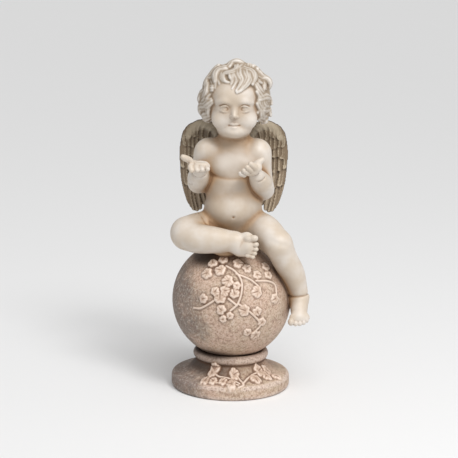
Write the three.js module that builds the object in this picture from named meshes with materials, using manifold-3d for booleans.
// A winged child seated on a ball, on a round moulded plinth: one cast-stone garden statue.
// Millimetres, +Z up, the front faces -Y. The origin is the centre of the underside.
// The figure is modelled like clay: soft forms run together into one skin, which is then
// meshed and thinned. The ball and plinth are turned, feathers and ivy are separate closed
// shapes, and all of it is joined into a single casting.
import * as THREE from "three";
import { mergeVertices } from "three/addons/utils/BufferGeometryUtils.js";
import Module from "manifold-3d";

const wasm = await Module();
wasm.setup();

// Driving dimensions.
const plinthRadius = 108;
const rimHeight = 25;
const collarRadius = 68.5; // outside of the round moulding under the ball
const collarBead = 8.5; // radius of that moulding
const collarHeight = 61; // height of the moulding's middle
const ballRadius = 108;
const ballSeat = 54; // height of the ball's lowest point, sunk in the collar
const figureHeight = 330; // from the top of the ball to the crown
const leafRelief = 4.2; // how far the ivy stands out
const stemRadius = 2.4;
const featherThickness = 4.6; // half the thickness of a wing quill at its middle

// Fineness of the mesh.
const clayCell = 3.3;
const figureTriangles = 5300;
const statueTriangles = 9800;
const turnSides = 32;

// The figure is drawn 330 high, in a frame whose origin is the top of the ball.
const drawnHeight = 330;
const share = figureHeight / drawnHeight;
const ballCentre = ballSeat + ballRadius;
const figureBase = ballCentre + ballRadius;
const drawnBall = ballRadius / share;

// A point beside the ball in the figure's frame: angle round from the front (towards +X),
// height above the ball's middle as a share of its radius, and distance out from its surface.
function besideBall(angle, height, out) {
  const turn = THREE.MathUtils.degToRad(angle);
  const up = Math.asin(height);
  const reach = drawnBall + out;
  return [
    Math.sin(turn) * Math.cos(up) * reach,
    -Math.cos(turn) * Math.cos(up) * reach,
    Math.sin(up) * reach - drawnBall,
  ];
}

// Smooth joins of two distances, rounded over about the width k.
function join(a, b, k) {
  const h = Math.max(k - Math.abs(a - b), 0) / k;
  return Math.min(a, b) - (h * h * k) / 4;
}
const carve = (a, b, k) => -join(-a, b, k);

// A soft form knows the box it fills and the distance from a point to its skin.

// An egg: centre, three radii, and turns in degrees about X, Y and Z.
function egg(centre, radii, turns = [0, 0, 0]) {
  const euler = new THREE.Euler(...turns.map(THREE.MathUtils.degToRad));
  const m = new THREE.Matrix4().makeRotationFromEuler(euler).transpose().elements;
  const [cx, cy, cz] = centre;
  const [rx, ry, rz] = radii;
  const reach = Math.max(rx, ry, rz);
  return {
    low: centre.map((c) => c - reach),
    high: centre.map((c) => c + reach),
    distance(x, y, z) {
      const dx = x - cx;
      const dy = y - cy;
      const dz = z - cz;
      const u = m[0] * dx + m[4] * dy + m[8] * dz;
      const v = m[1] * dx + m[5] * dy + m[9] * dz;
      const w = m[2] * dx + m[6] * dy + m[10] * dz;
      const near = Math.hypot(u / rx, v / ry, w / rz);
      const slope = Math.hypot(u / (rx * rx), v / (ry * ry), w / (rz * rz));
      return slope < 1e-9 ? -Math.min(rx, ry, rz) : (near * (near - 1)) / slope;
    },
  };
}

// A limb: a round rod of changing radius along a smooth curve through [x, y, z, radius] points.
function limb(points, steps = 4) {
  const path = new THREE.CatmullRomCurve3(points.map(([x, y, z]) => new THREE.Vector3(x, y, z)));
  const count = (points.length - 1) * steps;
  const beads = [];
  for (let i = 0; i <= count; i++) {
    const along = i / steps;
    const first = Math.min(Math.floor(along), points.length - 2);
    const radius = THREE.MathUtils.lerp(points[first][3], points[first + 1][3], along - first);
    const p = path.getPoint(i / count);
    beads.push([p.x, p.y, p.z, radius]);
  }
  const axes = [0, 1, 2];
  return {
    low: axes.map((a) => Math.min(...beads.map((b) => b[a] - b[3]))),
    high: axes.map((a) => Math.max(...beads.map((b) => b[a] + b[3]))),
    distance(x, y, z) {
      let least = Infinity;
      for (let i = 0; i < count; i++) {
        const [ax, ay, az, ar] = beads[i];
        const [bx, by, bz, br] = beads[i + 1];
        const ex = bx - ax;
        const ey = by - ay;
        const ez = bz - az;
        const dot = (x - ax) * ex + (y - ay) * ey + (z - az) * ez;
        const t = Math.min(1, Math.max(0, dot / (ex * ex + ey * ey + ez * ez)));
        const gap = Math.hypot(x - ax - ex * t, y - ay - ey * t, z - az - ez * t);
        least = Math.min(least, gap - ar - (br - ar) * t);
      }
      return least;
    },
  };
}

// A block of clay: distances on a grid of cubes, to which forms are added or carved away.
class Clay {
  constructor(low, high, cell) {
    this.low = low;
    this.cell = cell;
    this.size = low.map((l, a) => Math.ceil((high[a] - l) / cell) + 1);
    this.field = new Float32Array(this.size[0] * this.size[1] * this.size[2]).fill(60);
  }

  index(i, j, k) {
    return (k * this.size[1] + j) * this.size[0] + i;
  }

  // Works through the grid points that lie within reach of a form.
  sweep(form, reach, change) {
    const from = form.low.map((l, a) => Math.max(0, Math.floor((l - reach - this.low[a]) / this.cell)));
    const to = form.high.map((h, a) =>
      Math.min(this.size[a] - 1, Math.ceil((h + reach - this.low[a]) / this.cell)),
    );
    for (let k = from[2]; k <= to[2]; k++) {
      for (let j = from[1]; j <= to[1]; j++) {
        for (let i = from[0]; i <= to[0]; i++) {
          const at = this.index(i, j, k);
          const x = this.low[0] + i * this.cell;
          const y = this.low[1] + j * this.cell;
          const z = this.low[2] + k * this.cell;
          this.field[at] = change(this.field[at], form.distance(x, y, z));
        }
      }
    }
  }

  add(k, ...forms) {
    forms.forEach((form) => this.sweep(form, k + 3 * this.cell, (a, b) => join(a, b, k)));
  }

  cut(k, ...forms) {
    forms.forEach((form) => this.sweep(form, k + 3 * this.cell, (a, b) => carve(a, b, k)));
  }

  // The skin at distance zero. Each cube is split into six tetrahedra, so the skin always closes.
  skin() {
    const [nx, ny, nz] = this.size;
    const steps = [
      [0, 0, 0], [1, 0, 0], [0, 1, 0], [1, 1, 0], [0, 0, 1], [1, 0, 1], [0, 1, 1], [1, 1, 1],
    ];
    const tetrahedra = [
      [0, 1, 3, 7], [0, 3, 2, 7], [0, 2, 6, 7], [0, 6, 4, 7], [0, 4, 5, 7], [0, 5, 1, 7],
    ];
    const positions = [];
    const known = new Map();
    const triangles = [];
    const offsets = steps.map(([i, j, k]) => this.index(i, j, k));
    const cross = (a, b) => {
      const [p, q] = a < b ? [a, b] : [b, a];
      const key = p * 8 + offsets.indexOf(q - p);
      if (!known.has(key)) {
        const t = this.field[p] / (this.field[p] - this.field[q]);
        const bound = Math.min(0.98, Math.max(0.02, t));
        const place = (n) => [n % nx, Math.floor(n / nx) % ny, Math.floor(n / (nx * ny))];
        const from = place(p);
        const to = place(q);
        known.set(key, positions.length / 3);
        from.forEach((f, a) => positions.push(this.low[a] + (f + (to[a] - f) * bound) * this.cell));
      }
      return known.get(key);
    };
    for (let k = 0; k < nz - 1; k++) {
      for (let j = 0; j < ny - 1; j++) {
        for (let i = 0; i < nx - 1; i++) {
          const base = this.index(i, j, k);
          const inside = offsets.filter((o) => this.field[base + o] < 0).length;
          if (inside === 0 || inside === 8) continue;
          for (const tet of tetrahedra) {
            const corners = tet.map((c) => base + offsets[c]);
            const within = corners.filter((c) => this.field[c] < 0);
            const beyond = corners.filter((c) => this.field[c] >= 0);
            if (!within.length || !beyond.length) continue;
            // An even order of the corners keeps every face turned outwards.
            const order = [...within, ...beyond].map((c) => corners.indexOf(c));
            let swaps = 0;
            order.forEach((a, n) => order.slice(n + 1).forEach((b) => (swaps += a > b ? 1 : 0)));
            const turned = swaps % 2 === 1;
            let face;
            if (within.length === 1) face = beyond.map((b) => cross(within[0], b));
            else if (beyond.length === 1) face = within.map((w) => cross(w, beyond[0]));
            else {
              face = [
                cross(within[0], beyond[0]), cross(within[0], beyond[1]),
                cross(within[1], beyond[1]), cross(within[1], beyond[0]),
              ];
            }
            for (let n = 1; n < face.length - 1; n++) {
              const [a, b, c] = [face[0], face[n], face[n + 1]];
              triangles.push(...(turned ? [a, c, b] : [a, b, c]));
            }
          }
        }
      }
    }
    return { positions: Float64Array.from(positions), triangles };
  }
}

// Thins a closed skin to a number of triangles. The edge whose loss moves the surface least
// goes first, and an edge stays where its loss would fold the skin or pinch it shut.
function thin({ positions, triangles }, wanted) {
  const count = positions.length / 3;
  const faces = [];
  for (let i = 0; i < triangles.length; i += 3) faces.push(triangles.slice(i, i + 3));
  const around = Array.from({ length: count }, () => new Set());
  faces.forEach((f, n) => f.forEach((v) => around[v].add(n)));
  const at = (v) => [positions[3 * v], positions[3 * v + 1], positions[3 * v + 2]];
  const normalOf = (p, q, r) => {
    const a = [q[0] - p[0], q[1] - p[1], q[2] - p[2]];
    const b = [r[0] - p[0], r[1] - p[1], r[2] - p[2]];
    return [a[1] * b[2] - a[2] * b[1], a[2] * b[0] - a[0] * b[2], a[0] * b[1] - a[1] * b[0]];
  };
  // Ten numbers per point: the sum of squared distances to the planes of its faces.
  const errors = Array.from({ length: count }, () => new Float64Array(10));
  faces.forEach((f) => {
    const [p, q, r] = f.map(at);
    const n = normalOf(p, q, r);
    const area = Math.hypot(...n);
    if (area < 1e-12) return;
    const [a, b, c] = n.map((x) => x / area);
    const d = -(a * p[0] + b * p[1] + c * p[2]);
    const plane = [a * a, a * b, a * c, a * d, b * b, b * c, b * d, c * c, c * d, d * d];
    f.forEach((v) => plane.forEach((x, i) => (errors[v][i] += x * area)));
  });
  const errorAt = (e, [x, y, z]) =>
    e[0] * x * x + 2 * e[1] * x * y + 2 * e[2] * x * z + 2 * e[3] * x + e[4] * y * y +
    2 * e[5] * y * z + 2 * e[6] * y + e[7] * z * z + 2 * e[8] * z + e[9];
  const bestPlace = (e, p, q) => {
    const [xx, xy, xz, xd, yy, yz, yd, zz, zd] = e;
    const det = xx * (yy * zz - yz * yz) - xy * (xy * zz - yz * xz) + xz * (xy * yz - yy * xz);
    const middle = [0, 1, 2].map((a) => (p[a] + q[a]) / 2);
    if (Math.abs(det) > 1e-6) {
      const solved = [
        -(xd * (yy * zz - yz * yz) - xy * (yd * zz - yz * zd) + xz * (yd * yz - yy * zd)) / det,
        -(xx * (yd * zz - zd * yz) - xd * (xy * zz - yz * xz) + xz * (xy * zd - yd * xz)) / det,
        -(xx * (yy * zd - yz * yd) - xy * (xy * zd - yd * xz) + xd * (xy * yz - yy * xz)) / det,
      ];
      const length = Math.hypot(p[0] - q[0], p[1] - q[1], p[2] - q[2]);
      if (Math.hypot(...solved.map((s, a) => s - middle[a])) < 1.5 * length) return solved;
    }
    return [p, q, middle].sort((a, b) => errorAt(e, a) - errorAt(e, b))[0];
  };
  // A heap of edges, cheapest first. An entry is stale once either end has changed.
  const heap = [];
  const age = new Int32Array(count);
  const push = (entry) => {
    let n = heap.push(entry) - 1;
    while (n > 0) {
      const up = (n - 1) >> 1;
      if (heap[up].cost <= heap[n].cost) break;
      [heap[up], heap[n]] = [heap[n], heap[up]];
      n = up;
    }
  };
  const pop = () => {
    const top = heap[0];
    const last = heap.pop();
    if (heap.length) {
      heap[0] = last;
      let n = 0;
      for (;;) {
        const left = 2 * n + 1;
        if (left >= heap.length) break;
        const least = left + 1 < heap.length && heap[left + 1].cost < heap[left].cost ? left + 1 : left;
        if (heap[n].cost <= heap[least].cost) break;
        [heap[least], heap[n]] = [heap[n], heap[least]];
        n = least;
      }
    }
    return top;
  };
  const neighbours = (v) => {
    const found = new Set();
    around[v].forEach((n) => faces[n].forEach((w) => w !== v && found.add(w)));
    return found;
  };
  const offer = (a, b) => {
    const e = errors[a].map((x, i) => x + errors[b][i]);
    const place = bestPlace(e, at(a), at(b));
    const length = Math.hypot(...at(a).map((x, i) => x - at(b)[i]));
    push({ a, b, place, cost: errorAt(e, place) + 1e-4 * length, ages: [age[a], age[b]] });
  };
  faces.forEach(([a, b, c]) => [[a, b], [b, c], [c, a]].forEach(([p, q]) => p < q && offer(p, q)));
  const folds = (v, other, place) =>
    [...around[v]].some((n) => {
      const f = faces[n];
      if (f.includes(other)) return false;
      const before = normalOf(...f.map(at));
      const after = normalOf(...f.map((w) => (w === v ? place : at(w))));
      const sizes = Math.hypot(...before) * Math.hypot(...after);
      const dot = before[0] * after[0] + before[1] * after[1] + before[2] * after[2];
      return dot < 0.25 * sizes || Math.hypot(...after) < 0.02;
    });
  let left = faces.length;
  while (left > wanted && heap.length) {
    const { a, b, place, ages } = pop();
    if (age[a] !== ages[0] || age[b] !== ages[1]) continue;
    const nearA = neighbours(a);
    const shared = [...neighbours(b)].filter((v) => nearA.has(v));
    if (shared.length !== 2 || folds(a, b, place) || folds(b, a, place)) continue;
    for (const n of [...around[b]]) {
      if (faces[n].includes(a)) {
        faces[n].forEach((v) => around[v].delete(n));
        faces[n] = null;
        left -= 1;
      } else {
        faces[n] = faces[n].map((v) => (v === b ? a : v));
        around[a].add(n);
      }
    }
    around[b].clear();
    positions.set(place, 3 * a);
    errors[b].forEach((x, i) => (errors[a][i] += x));
    age[a] += 1;
    age[b] += 1;
    neighbours(a).forEach((v) => offer(a, v));
  }
  return { positions, triangles: faces.filter(Boolean).flat() };
}

// Keeps the outer skin, the largest shell, so that no pocket is left shut inside the stone.
function outermost({ positions, triangles }) {
  const leader = Array.from({ length: positions.length / 3 }, (_, n) => n);
  const find = (n) => {
    while (leader[n] !== n) n = leader[n] = leader[leader[n]];
    return n;
  };
  for (let i = 0; i < triangles.length; i += 3) {
    leader[find(triangles[i])] = find(triangles[i + 1]);
    leader[find(triangles[i])] = find(triangles[i + 2]);
  }
  const sizes = new Map();
  triangles.forEach((v) => sizes.set(find(v), (sizes.get(find(v)) ?? 0) + 1));
  const largest = [...sizes].sort((a, b) => b[1] - a[1])[0][0];
  const kept = [];
  for (let i = 0; i < triangles.length; i += 3) {
    if (find(triangles[i]) === largest) kept.push(...triangles.slice(i, i + 3));
  }
  return { positions, triangles: kept };
}

// Closed solids for joining, from positions in millimetres and triangle corners.
function solid({ positions, triangles }) {
  return solidOf(indexed({ positions, triangles }));
}

function indexed({ positions, triangles }) {
  const geometry = new THREE.BufferGeometry();
  geometry.setAttribute("position", new THREE.Float32BufferAttribute(Float32Array.from(positions), 3));
  geometry.setIndex(Array.from(triangles));
  return geometry;
}

function solidOf(geometry) {
  const bare = geometry.clone();
  bare.deleteAttribute("normal");
  bare.deleteAttribute("uv");
  const merged = mergeVertices(bare, 1e-4);
  return new wasm.Manifold(
    new wasm.Mesh({
      numProp: 3,
      vertProperties: merged.attributes.position.array,
      triVerts: new Uint32Array(merged.index.array),
    }),
  );
}

// Rings of points stitched into a closed solid, with a fan over each end.
function ringed(rings, tip) {
  const sides = rings[0].length;
  const positions = rings.flat(2);
  const triangles = [];
  for (let r = 0; r < rings.length - 1; r++) {
    for (let s = 0; s < sides; s++) {
      const a = r * sides + s;
      const b = r * sides + ((s + 1) % sides);
      triangles.push(a, b, b + sides, a, b + sides, a + sides);
    }
  }
  const cap = (ring, point, inwards) => {
    const centre = positions.length / 3;
    positions.push(...point);
    for (let s = 0; s < sides; s++) {
      const a = ring * sides + s;
      const b = ring * sides + ((s + 1) % sides);
      triangles.push(...(inwards ? [b, a, centre] : [a, b, centre]));
    }
  };
  const middle = (ring) => [0, 1, 2].map((a) => ring.reduce((sum, p) => sum + p[a], 0) / sides);
  cap(0, middle(rings[0]), true);
  cap(rings.length - 1, tip ?? middle(rings[rings.length - 1]), false);
  const made = solid({ positions, triangles });
  return made;
}

// The child's body, from the seat up. X is the viewer's right; the figure's own right is -X.
function torso(clay) {
  clay.add(14,
    egg([0, 3, 26], [52, 44, 33]), // hips
    egg([0, -9, 62], [52, 47, 42]), // belly
    egg([-1, -2, 108], [49, 41, 46]), // ribs
    egg([-1, -4, 146], [50, 36, 34]), // chest
  );
  clay.add(12, limb([[-42, 2, 162, 23], [0, 4, 166, 24], [39, 2, 162, 23]])); // shoulder girdle
  clay.add(12, limb([[-1, 4, 166, 28], [0, -2, 196, 27]])); // neck
  clay.add(8, egg([-24, 26, 18], [27, 26, 28]), egg([24, 26, 18], [27, 26, 28])); // seat
  clay.cut(6, limb([[-42, -47, 122, 2], [-8, -54, 121, 3], [34, -48, 122, 2]])); // under the chest
  clay.cut(9, limb([[0, 47, 60, 3], [-1, 45, 100, 3], [-2, 40, 140, 3]])); // spine
  clay.cut(4, limb([[0, 56, -4, 2.5], [0, 55, 22, 2.5], [0, 51, 40, 1]])); // cleft
  clay.cut(4, egg([1, -58.5, 54], [2.6, 6, 2.2])); // navel
}

// Arms bent up at the elbow, palms open upwards, each with four curled fingers and a thumb.
function arm(clay, shoulder, elbow, wrist) {
  const upper = shoulder.map((s, i) => (s + elbow[i]) / 2);
  const fore = elbow.map((e, i) => e + (wrist[i] - e) * 0.45);
  clay.add(7, limb([[...shoulder, 24.5], [...upper, 20.5], [...elbow, 18.5]]));
  clay.add(4, limb([[...elbow, 18.5], [...fore, 20], [...wrist, 13.5]]));
}

// Four fingers, each from knuckle to tip, drawn between the first and the last.
function fingers(clay, first, last) {
  [0, 1, 2, 3].forEach((n) => {
    const points = first.map((p, i) => p.map((v, a) => THREE.MathUtils.lerp(v, last[i][a], n / 3)));
    const proud = [0, 2.2, 2.4, 0][n]; // the middle fingers reach further
    clay.add(1.6, limb(points.map(([x, y, z, r], i) => [x, y - (proud * i) / 2, z, r]), 3));
  });
}

function arms(clay) {
  arm(clay, [-46.5, 0, 161], [-63, 0, 106], [-60, -55, 138]);
  arm(clay, [43, 0, 161], [55, -2, 96], [41, -50, 129]);
  clay.add(5, egg([-59, -68, 148], [18, 15, 9], [18, 0, 0]));
  fingers(clay,
    [[-73, -75, 150, 5.6], [-75, -85, 149, 5.3], [-73, -90, 144, 4.7]],
    [[-47, -72, 147, 4.9], [-46, -82, 145.5, 4.7], [-45.3, -86, 146, 4.2]]);
  clay.add(3, limb([[-70, -64, 152, 7], [-79, -73, 160, 5.9], [-88.5, -82, 166, 4.8]], 3));
  clay.add(5, egg([34, -66, 143], [17, 13, 10], [20, -26, 0]));
  fingers(clay,
    [[40, -73, 145, 5.5], [36, -80, 150.5, 5.2], [29.5, -84, 156, 4.6]],
    [[18.5, -73, 134.5, 4.9], [15, -78, 136.5, 4.6], [12.3, -80, 138, 4.1]]);
  clay.add(3, limb([[37, -64, 149, 7], [43, -65, 155, 6], [50, -63, 160, 4.8]], 3));
}

// The right leg is folded across the top of the ball; the left hangs down its side.
function legs(clay) {
  clay.add(8, limb([[-26, -2, 25, 31], [-56, -20, 25, 31], [-82, -36, 22, 29]]));
  clay.add(5, limb([[-81, -40, 19, 28.5], [-58, -55, 15, 26.5], [-28, -65, 15, 23], [4, -72, 15, 17]]));
  clay.add(6, limb([[4, -72, 15, 16.5], [14, -70, 4, 17], [28, -80, 8, 12]]));
  clay.add(6, egg([26, -79, 12], [17, 9, 22], [0, -6, -14]));
  clay.add(8, limb([[27, -2, 26, 32], [54, -28, 24, 32], [81, -58, 8, 25]]));
  const calf = [...besideBall(62, 0.63, 29), 23.5];
  const shin = [...besideBall(70, 0.46, 22), 21.5];
  const low = [...besideBall(75, 0.27, 18), 18.5];
  const ankle = [...besideBall(77, 0.09, 18), 16.5];
  const heel = [...besideBall(81, -0.03, 15), 15.5];
  clay.add(6, limb([[81, -58, 8, 25], calf, shin, low, ankle]));
  clay.add(5, limb([ankle, heel]));
  clay.add(6, limb([ankle, [...besideBall(71, -0.06, 21), 15.5], [...besideBall(66, -0.14, 26), 10.5]]));
  clay.add(5, egg(besideBall(65.5, -0.142, 28), [19, 9.5, 11], [-25, -4, 8]));
}

// Big toe first: upright in a row at the end of the crossed foot, level under the other.
function toes(clay) {
  const sizes = [6.9, 5.4, 5, 4.6, 4.3];
  const crossed = [[38.5, 23.5], [41, 12.5], [40.5, 4.5], [38.5, -2.5], [36, -9]];
  crossed.forEach(([x, z], n) => {
    clay.add(1.5, egg([x, -87 + 0.6 * n, z], [sizes[n] * 1.1, sizes[n], sizes[n] * 0.9]));
  });
  const hanging = [[59.4, -0.2, 19], [60.8, -0.205, 27], [62.6, -0.197, 33], [64.6, -0.182, 38], [67, -0.16, 41]];
  hanging.forEach((place, n) => {
    clay.add(1.5, egg(besideBall(...place), [sizes[n] * 0.9, sizes[n] * 1.1, sizes[n] * 1.1]));
  });
}

// A child's head: a round skull, full cheeks, a short nose and calm, open eyes.
function head(clay) {
  clay.add(12, egg([0, 6, 262], [50, 55, 51]), egg([0, -14, 236], [41, 38, 41]));
  clay.add(10, egg([-22, -33, 224], [18, 15, 17]), egg([22, -33, 224], [18, 15, 17])); // cheeks
  clay.add(9, egg([0, -41, 207], [13, 11, 9.5])); // chin
  clay.add(8, egg([0, -22, 206], [29, 27, 13])); // under the jaw
  clay.add(8, egg([0, -27, 267], [36, 27, 25])); // forehead
  [-1, 1].forEach((side) => {
    clay.cut(7, egg([side * 17, -57, 247], [10, 8, 5.5])); // eye socket
    clay.add(2, egg([side * 17, -44.5, 246.5], [8.5, 8, 6])); // eye
    clay.add(3, egg([side * 50, 4, 238], [6, 10, 14])); // ear
  });
  clay.add(4, limb([[0, -51, 252, 4], [0, -57, 240, 4.6], [0, -60, 234.5, 5.2]])); // nose
  clay.add(2.5, egg([-5, -55.5, 233], [3.8, 4.5, 3.2]), egg([5, -55.5, 233], [3.8, 4.5, 3.2]));
  clay.add(4, limb([[-9, -47, 219, 2.4], [-3, -51.5, 221, 3], [3, -51.5, 221, 3], [9, -47, 219, 2.4]]));
  clay.add(4, limb([[-7, -48, 214.5, 2.4], [0, -50.5, 213.5, 3.4], [7, -48, 214.5, 2.4]]));
  clay.cut(1.5, limb([[-10, -51, 217.5, 0.8], [0, -55.5, 217.5, 1.2], [10, -51, 217.5, 0.8]])); // mouth
}

// Tousled locks in rings round the crown. Each runs down over the skull, sways and curls out.
const scalp = { centre: [1, 6, 262], radii: [53, 57, 52] };

function onScalp(polar, turn, out) {
  const a = THREE.MathUtils.degToRad(polar);
  const b = THREE.MathUtils.degToRad(turn);
  const unit = [Math.sin(a) * Math.sin(b), -Math.sin(a) * Math.cos(b), Math.cos(a)];
  return unit.map((u, i) => scalp.centre[i] + u * (scalp.radii[i] + out));
}

function lock(clay, polar, turn, length, sway, radius, flick) {
  const steps = [0, 0.33, 0.66, 1];
  const points = steps.map((t) => {
    const bend = sway * Math.sin(t * Math.PI * 1.4);
    const out = 1 + 2.5 * Math.sin(t * Math.PI) + flick * t * t;
    return [...onScalp(polar + length * t, turn + bend, out), radius * (1 - 0.62 * t * t)];
  });
  clay.add(1.5, limb(points, 3));
}

function hair(clay) {
  const rings = [
    { polar: 4, count: 5, length: 30, radius: 7.5, flick: 1 },
    { polar: 24, count: 9, length: 32, radius: 7.8, flick: 1.5 },
    { polar: 47, count: 13, length: 34, radius: 8.4, flick: 3 },
    { polar: 70, count: 13, length: 34, radius: 8.4, flick: 7 },
    { polar: 93, count: 11, length: 28, radius: 8, flick: 8 },
  ];
  rings.forEach(({ polar, count, length, radius, flick }, ring) => {
    for (let n = 0; n < count; n++) {
      const turn = (360 * (n + 0.5 * (ring % 2))) / count + 14 * Math.sin(5 * n + ring);
      const front = Math.abs(((turn + 180) % 360) - 180);
      // The face stays clear below the fringe.
      if (polar > 40 && front < (polar > 65 ? 66 : 40)) continue;
      const side = turn % 360 < 180 ? 1 : -1;
      const sway = side * (11 + 5 * Math.sin(7 * n + 2 * ring));
      lock(clay, polar, turn, length, sway, radius, flick);
    }
  });
  lock(clay, 40, -8, 34, 16, 7.5, 0); // forelock
  lock(clay, 34, 14, 26, -20, 7.5, 0);
  lock(clay, 40, -32, 30, -12, 7.5, 1);
  lock(clay, 40, 32, 28, 14, 7.5, 1);
  clay.add(2, limb([[-14, -12, 314, 8], [-6, -14, 322, 8.5], [8, -12, 323, 8], [18, -4, 318, 6]])); // top curl
}

// The wings spread behind the shoulders. A wing's surface is drawn in u, outwards from the
// spine, and the height z, and it is dished so that its rim comes forward.
const wingMiddle = [58, 130];

function onWing(side, u, z, out = 0) {
  const across = (u - wingMiddle[0]) / 40;
  const upward = (z - wingMiddle[1]) / 85;
  const dish = 8 * (across * across + upward * upward);
  return [side * u, 46 + 0.25 * (u - 20) - dish + out, z];
}

function wingArm(clay, side) {
  const rim = [
    [12, 140, 10], [19, 172, 9], [33, 198, 7.5], [54, 208, 6.5], [74, 201, 5.5], [88, 178, 4.8], [93, 146, 4],
  ];
  clay.add(6, limb(rim.map(([u, z, r]) => [...onWing(side, u, z), r])));
}

// Three rows of feathers. Guides give where the roots, middles and tips lie, from the wing's
// outer edge to the spine.
const featherRows = [
  { count: 8, width: 7.6, thick: 1, roots: [[86, 162], [60, 156], [26, 136]],
    middles: [[90, 120], [64, 104], [31, 106]], tips: [[80, 58], [68, 41], [50, 58], [31, 94]] },
  { count: 6, width: 8, thick: 1.45, roots: [[86, 176], [60, 182], [26, 160]],
    middles: [[91, 148], [64, 152], [32, 136]], tips: [[91, 122], [66, 120], [35, 110]] },
  { count: 6, width: 7.6, thick: 1.8, roots: [[82, 192], [58, 203], [26, 178]],
    middles: [[87, 174], [61, 180], [31, 160]], tips: [[90, 154], [64, 153], [35, 140]] },
];

function guide(points) {
  return new THREE.CatmullRomCurve3(points.map(([u, z]) => new THREE.Vector3(u, z, 0)));
}

function feather(side, root, middle, tip, width, thickness) {
  const spine = new THREE.QuadraticBezierCurve3(
    root, middle.clone().multiplyScalar(2).sub(root.clone().add(tip).multiplyScalar(0.5)), tip);
  const stations = [[0, 0.6, 0.8], [0.5, 1, 1], [0.88, 0.72, 0.7]];
  const rings = stations.map(([t, wide, deep]) => {
    const p = spine.getPoint(t);
    const along = spine.getTangent(t);
    const across = new THREE.Vector3(along.y, -along.x, 0);
    // One edge of each feather tips forwards, over its neighbour.
    return [[1, -0.22], [0, -1], [-1, 0.22], [0, 1]].map(([w, d]) => {
      const u = p.x + across.x * w * wide * width;
      const z = p.y + across.y * w * wide * width;
      return onWing(side, u, z, d * deep * thickness);
    });
  });
  const end = onWing(side, tip.x, tip.y);
  return ringed(side > 0 ? rings.map((r) => [...r].reverse()) : rings, end);
}

function feathers() {
  const made = [];
  for (const side of [-1, 1]) {
    for (const row of featherRows) {
      const [roots, middles, tips] = [row.roots, row.middles, row.tips].map(guide);
      for (let n = 0; n < row.count; n++) {
        const t = n / (row.count - 1);
        made.push(feather(side, roots.getPoint(t), middles.getPoint(t), tips.getPoint(t),
          row.width, featherThickness * row.thick));
      }
    }
  }
  return made;
}

// Sets a closed shape drawn in the figure's frame on top of the ball.
function seat(made) {
  return made.scale(share).translate(0, 0, figureBase);
}

// The modelled figure, meshed and thinned.
function figure() {
  const clay = new Clay([-122, -112, -162], [152, 90, 344], clayCell);
  torso(clay);
  legs(clay);
  arms(clay);
  head(clay);
  [-1, 1].forEach((side) => wingArm(clay, side));
  hair(clay);
  toes(clay);
  // Flesh runs into the ball in a fillet. The clay's own ball stays just under the real one,
  // and only the part of it near the figure is kept.
  const centre = [0, 0, -drawnBall];
  const core = egg(centre, Array(3).fill(drawnBall - 1.2));
  const near = clay.field.slice();
  clay.add(13, core);
  clay.field.forEach((d, n) => (clay.field[n] = Math.max(d, near[n] - 16)));
  return solid(thin(clay.skin(), figureTriangles));
}

// The turned plinth: a thick rim, a hollowed slope up to the neck, and a round collar.
function plinthProfile() {
  const neck = collarRadius - 6;
  const beadCentre = collarRadius - collarBead;
  const rim = new THREE.SplineCurve([
    new THREE.Vector2(plinthRadius - 4, 0), new THREE.Vector2(plinthRadius, 5),
    new THREE.Vector2(plinthRadius, rimHeight - 6), new THREE.Vector2(plinthRadius - 5, rimHeight + 0.5),
  ]).getPoints(5);
  const slope = new THREE.SplineCurve([
    new THREE.Vector2(plinthRadius - 12, rimHeight + 2), new THREE.Vector2(plinthRadius - 28, rimHeight + 8),
    new THREE.Vector2(neck + 5, collarHeight - 18), new THREE.Vector2(neck, collarHeight - 9),
  ]).getPoints(5);
  const bead = [-60, -20, 20, 60, 100, 140].map((a) => {
    const turn = THREE.MathUtils.degToRad(a);
    return new THREE.Vector2(beadCentre + collarBead * Math.cos(turn), collarHeight + collarBead * Math.sin(turn));
  });
  const seat = collarHeight + 7;
  return [
    new THREE.Vector2(0, 0), ...rim, ...slope, ...bead,
    new THREE.Vector2(beadCentre - collarBead, collarHeight + 1),
    new THREE.Vector2(beadCentre - collarBead - 2, seat), new THREE.Vector2(0, seat),
  ];
}

function plinth() {
  const turned = new THREE.LatheGeometry(plinthProfile(), turnSides);
  return solidOf(turned.rotateX(Math.PI / 2));
}

function ball() {
  const sphere = new THREE.SphereGeometry(ballRadius, turnSides, 20);
  return solidOf(sphere.rotateX(Math.PI / 2).translate(0, 0, ballCentre));
}

// Ivy. A place on a surface is a point and its outward normal.
function onBall(angle, height) {
  const a = THREE.MathUtils.degToRad(angle);
  const h = THREE.MathUtils.degToRad(height);
  const normal = new THREE.Vector3(Math.sin(a) * Math.cos(h), -Math.cos(a) * Math.cos(h), Math.sin(h));
  return { point: normal.clone().multiplyScalar(ballRadius).setZ(ballCentre + ballRadius * Math.sin(h)), normal };
}

// A place on the plinth's slope, by the angle round it and the distance in from its rim.
function onPlinth(angle, inwards) {
  const profile = plinthProfile();
  const radius = plinthRadius - inwards;
  const upper = profile.slice(4, 14);
  let n = upper.findIndex((p, i) => i > 0 && p.x <= radius);
  n = n < 1 ? upper.length - 1 : n;
  const [outer, inner] = [upper[n - 1], upper[n]];
  const t = THREE.MathUtils.clamp((outer.x - radius) / Math.max(outer.x - inner.x, 1e-6), 0, 1);
  const z = THREE.MathUtils.lerp(outer.y, inner.y, t);
  const a = THREE.MathUtils.degToRad(angle);
  const out = new THREE.Vector3(Math.sin(a), -Math.cos(a), 0);
  const rise = new THREE.Vector2(inner.y - outer.y, outer.x - inner.x).normalize();
  const normal = out.clone().multiplyScalar(rise.x).setZ(rise.y).normalize();
  return { point: out.multiplyScalar(radius).setZ(z), normal };
}

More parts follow.
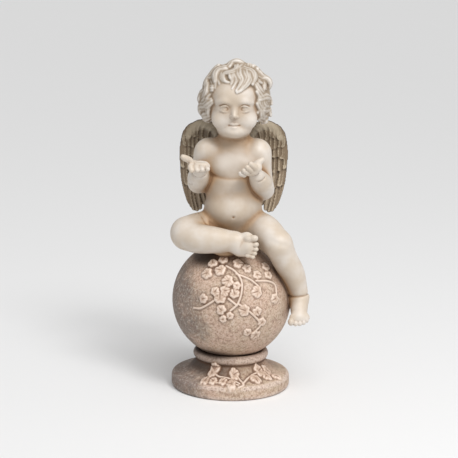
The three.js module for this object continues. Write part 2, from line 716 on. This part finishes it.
// A leaf of three lobes, domed, with its stalk end at heading degrees round its middle.
function leaf(place, size, heading) {
  const { point, normal } = place;
  const turn = THREE.MathUtils.degToRad(heading);
  const east = new THREE.Vector3(0, 0, 1).cross(normal).normalize();
  const north = normal.clone().cross(east);
  const outline = [[-90, 0.4], [-40, 0.66], [12, 0.95], [50, 0.62], [90, 1], [130, 0.62], [168, 0.95], [220, 0.66]];
  const ring = (spread, height) =>
    outline.map(([angle, reach]) => {
      const a = THREE.MathUtils.degToRad(angle) + turn;
      const r = reach * spread * size;
      return point.clone().addScaledVector(east, Math.cos(a) * r).addScaledVector(north, Math.sin(a) * r)
        .addScaledVector(normal, height).toArray();
    });
  const top = point.clone().addScaledVector(normal, leafRelief).toArray();
  return ringed([ring(1.4, -1.6)], top);
}

function stem(places) {
  const lift = stemRadius * 0.35;
  const line = places.map(({ point, normal }) => point.clone().addScaledVector(normal, lift));
  const path = new THREE.CatmullRomCurve3(line);
  const section = new THREE.Shape();
  [0, 1, 2, 3].forEach((n) => {
    const a = (n * Math.PI) / 2;
    const [x, y] = [stemRadius * Math.cos(a), stemRadius * Math.sin(a)];
    if (n) section.lineTo(x, y);
    else section.moveTo(x, y);
  });
  return solidOf(new THREE.ExtrudeGeometry(section, { extrudePath: path, steps: 2 * (places.length - 1), bevelEnabled: false }));
}

// Sprays of ivy, as stems and leaves. Numbers are angle and height in degrees on the ball, or
// angle and distance in from the rim on the plinth; leaves add size and heading.
const ballStems = [
  [[-8, 46], [3, 41], [10, 32], [10, 22], [6, 10], [-1, 3]],
  [[-38, 2], [-30, 3], [-22, 8], [-15, 13]],
  [[-3, 14], [5, 8]],
  [[5, 38], [20, 32], [28, 25]],
  [[27, 30], [42, 28], [50, 23], [49, 14]],
  [[7, 9], [20, -1], [29, -12], [23, -20]],
];
const ballLeaves = [
  [-29, 37, 11, 200], [-27, 47, 9, 120], [-15, 52, 9, 60], [-13, 41, 11, 170], [-3, 31, 11, 190],
  [7, 49, 10, 0], [6, 26, 8, 150], [3, 18, 9, 110], [-29, 12, 9, 20], [-17, 19, 9, 60],
  [-8, 21, 10, 10], [-11, 13, 10, 100], [-9, 3, 9, 140], [-7, -5, 7, 180], [-1, -1, 7, 230],
  [13, 3, 11, 160], [24, 2, 9, 300], [31, -9, 9, 220], [17, -20, 8, 130], [26, -22, 10, 240],
  [18, 43, 9, 20], [29, 36, 9, 340], [27, 20, 11, 190], [47, 43, 9, 330], [45, 33, 9, 60], [47, 11, 10, 200],
];
const plinthStems = [
  [[8, 3], [14, 10], [11, 26], [6, 38]],
  [[13, 12], [24, 28], [41, 34], [55, 24]],
  [[10, 14], [-2, 28], [-16, 31], [-25, 37]],
  [[8, 10], [-9, 15], [-28, 10]],
];
const plinthLeaves = [
  [-23, 41, 9, 20], [-26, 33, 8, 120], [4, 40, 10, 20], [43, 38, 10, 10], [58, 34, 9, 320], [32, 24, 10, 250],
  [50, 24, 9, 200], [61, 16, 8, 250], [-29, 13, 9, 90], [-19, 17, 8, 150], [-9, 17, 8, 60], [2, 9, 11, 170],
];

function ivy() {
  const leafOn = (on) => ([angle, away, size, heading]) => leaf(on(angle, away), size, heading);
  const stemOn = (on) => (points) => stem(points.map(([angle, away]) => on(angle, away)));
  return [
    ...ballStems.map(stemOn(onBall)), ...ballLeaves.map(leafOn(onBall)),
    ...plinthStems.map(stemOn(onPlinth)), ...plinthLeaves.map(leafOn(onPlinth)),
  ];
}

// One casting: everything joined and thinned, then handed over as a single mesh.
function casting() {
  const join = (a, b) => a.add(b);
  const drawn = [figure(), ...feathers()].reduce(join);
  const whole = [plinth(), ball(), seat(drawn), ...ivy()].reduce(join).getMesh();
  const positions = [];
  for (let i = 0; i < whole.numVert; i++) {
    positions.push(...whole.vertProperties.slice(whole.numProp * i, whole.numProp * i + 3));
  }
  const shell = outermost({ positions, triangles: Array.from(whole.triVerts) });
  return thin({ positions: Float64Array.from(positions), triangles: shell.triangles }, statueTriangles);
}

// Drops the points that thinning left unused.
function packed({ positions, triangles }) {
  const slot = new Map();
  triangles.forEach((v) => slot.has(v) || slot.set(v, slot.size));
  const used = [...slot.keys()].flatMap((v) => [...positions.slice(3 * v, 3 * v + 3)]);
  return { positions: used, triangles: triangles.map((v) => slot.get(v)) };
}

const geometry = indexed(packed(casting()));
geometry.computeVertexNormals();

const stone = new THREE.MeshStandardMaterial({ color: 0xcdb99f, roughness: 0.72, metalness: 0 });
const statue = new THREE.Mesh(geometry, stone);
statue.name = "cherub_statue";

const model = new THREE.Group();
model.add(statue);
export default model;
